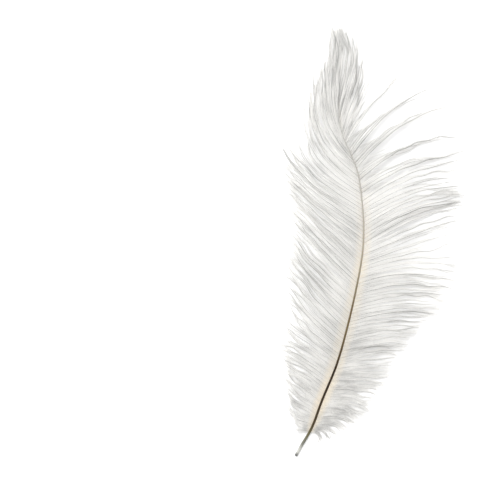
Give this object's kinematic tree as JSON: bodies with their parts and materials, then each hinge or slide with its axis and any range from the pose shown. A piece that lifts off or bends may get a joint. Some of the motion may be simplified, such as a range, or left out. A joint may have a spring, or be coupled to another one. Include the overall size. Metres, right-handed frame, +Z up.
{
  "type": "ostrich feather",
  "caption": "White ostrich plume lying flat: a thin curved dark shaft with a bare quill end and wide soft vanes of loose barbs in pointed locks.",
  "frame": {"origin": "middle of the plume's outline, on the surface it lies on", "axes": "+Y along the plume, from the quill end to the tip; +X towards the wide, drooping side; +Z up, away from the surface"},
  "size_m": [0.1292, 0.3012, 0.0142],
  "materials": {
    "barbs": "soft matt white barbs",
    "shaft": "smooth horn, dark brown, paler at both ends and sides"
  },
  "bodies": {
    "root": {"feather": "barbs"}
  },
  "joints": []
}
